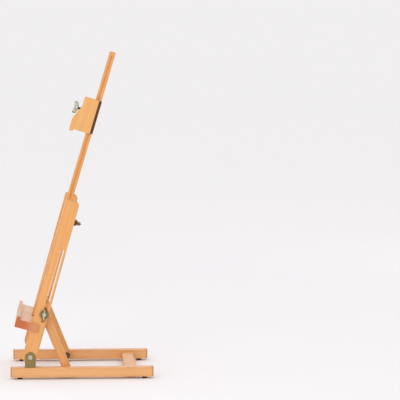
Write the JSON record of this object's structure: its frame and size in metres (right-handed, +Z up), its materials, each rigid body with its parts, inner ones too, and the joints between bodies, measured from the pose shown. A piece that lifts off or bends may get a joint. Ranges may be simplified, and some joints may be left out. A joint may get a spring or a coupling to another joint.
{
  "type": "tabletop easel",
  "caption": "Wooden tabletop easel: two base rails, a tilting slotted frame on struts, a canvas tray, and a sliding mast with a canvas clamp.",
  "frame": {"origin": "on the table under the middle of the base", "axes": "+Z up; -Y towards the painter, where the canvas stands; +X across the easel, towards the painter's right hand"},
  "size_m": [0.3188, 0.35, 0.8039],
  "materials": {
    "beech": "satin",
    "dowel_wood": "matte",
    "antique_brass": "satin",
    "brass": "satin",
    "dark_bronze": "satin",
    "aged_nickel": "satin",
    "zinc_steel": "satin",
    "matte_black": "matte",
    "rubber": "matte",
    "leather": "matte"
  },
  "bodies": {
    "base": {"rail_left": "beech", "rail_right": "beech", "rear_crossbar": "beech", "crossbar_dowels": "dowel_wood", "feet": "rubber", "foot_screws": "zinc_steel", "bracket_screws": "antique_brass", "pivot_rivets": "antique_brass", "pivot_bracket_left": "antique_brass", "pivot_bracket_right": "antique_brass", "strut_pivot_screws": "antique_brass", "strut_pivot_washers": "antique_brass"},
    "frame": {"upright_left": "beech", "upright_right": "beech", "top_crossbar": "beech", "frame_dowels": "dowel_wood", "tray": "beech", "tray_screws": "zinc_steel", "mast_guide_left": "beech", "mast_guide_right": "beech", "guide_screws": "zinc_steel", "crossbar_insert": "brass", "mast_pressure_pad": "leather"},
    "mast": {"mast": "beech"},
    "clamp": {"clamp_block": "beech", "clamp_strap": "dark_bronze", "strap_screws": "dark_bronze", "clamp_insert": "brass", "clamp_pressure_pad": "leather"},
    "clamp_screw": {"clamp_wing_bolt": "aged_nickel"},
    "mast_screw": {"mast_wing_bolt": "dark_bronze", "mast_bolt_washer": "dark_bronze"},
    "strut_left": {"strut_left": "beech", "slot_bolt_left": "antique_brass", "slot_spacer_left": "matte_black", "slot_washer_left": "antique_brass"},
    "strut_right": {"strut_right": "beech", "slot_bolt_right": "antique_brass", "slot_spacer_right": "matte_black", "slot_washer_right": "antique_brass"},
    "wing_nut_left": {"wing_nut_left": "antique_brass"},
    "wing_nut_right": {"wing_nut_right": "antique_brass"}
  },
  "joints": [
    {"name": "frame_tilt", "type": "hinge", "parent": "base", "child": "frame", "pos_m": [0, -0.1268, 0.054], "axis": [-1, 0, 0], "range_deg": [-3.5, 24]},
    {"name": "strut_left_swing", "type": "hinge", "parent": "base", "child": "strut_left", "pos_m": [-0.1178, -0.0352, 0.017], "axis": [-1, 0, 0], "range_deg": [-3.72, 25.35]},
    {"name": "strut_right_swing", "type": "hinge", "parent": "base", "child": "strut_right", "pos_m": [0.1178, -0.0352, 0.017], "axis": [-1, 0, 0], "range_deg": [-3.72, 25.35]},
    {"name": "mast_slide", "type": "slide", "parent": "frame", "child": "mast", "axis": [0, 0.2823, 0.9593], "range_m": [0, 0.2]},
    {"name": "clamp_slide", "type": "slide", "parent": "mast", "child": "clamp", "axis": [0, 0.2823, 0.9593], "range_m": [-0.185, 0.11]},
    {"name": "clamp_screw_turn", "type": "hinge", "parent": "clamp", "child": "clamp_screw", "pos_m": [0, -0.0007, 0.65953], "axis": [0, -0.9593, 0.2823], "continuous": true},
    {"name": "mast_screw_turn", "type": "hinge", "parent": "frame", "child": "mast_screw", "pos_m": [0, -0.02685, 0.37588], "axis": [0, 0.9593, -0.2823], "continuous": true},
    {"name": "wing_nut_left_turn", "type": "hinge", "parent": "strut_left", "child": "wing_nut_left", "pos_m": [-0.1467, -0.09305, 0.15961], "axis": [-1, 0, 0], "continuous": true},
    {"name": "wing_nut_right_turn", "type": "hinge", "parent": "strut_right", "child": "wing_nut_right", "pos_m": [0.1467, -0.09305, 0.15961], "axis": [1, 0, 0], "continuous": true}
  ],
  "couplings": [
    {"joint": "strut_left_swing", "follows": "frame_tilt", "ratio": 1.055},
    {"joint": "strut_right_swing", "follows": "frame_tilt", "ratio": 1.055}
  ]
}
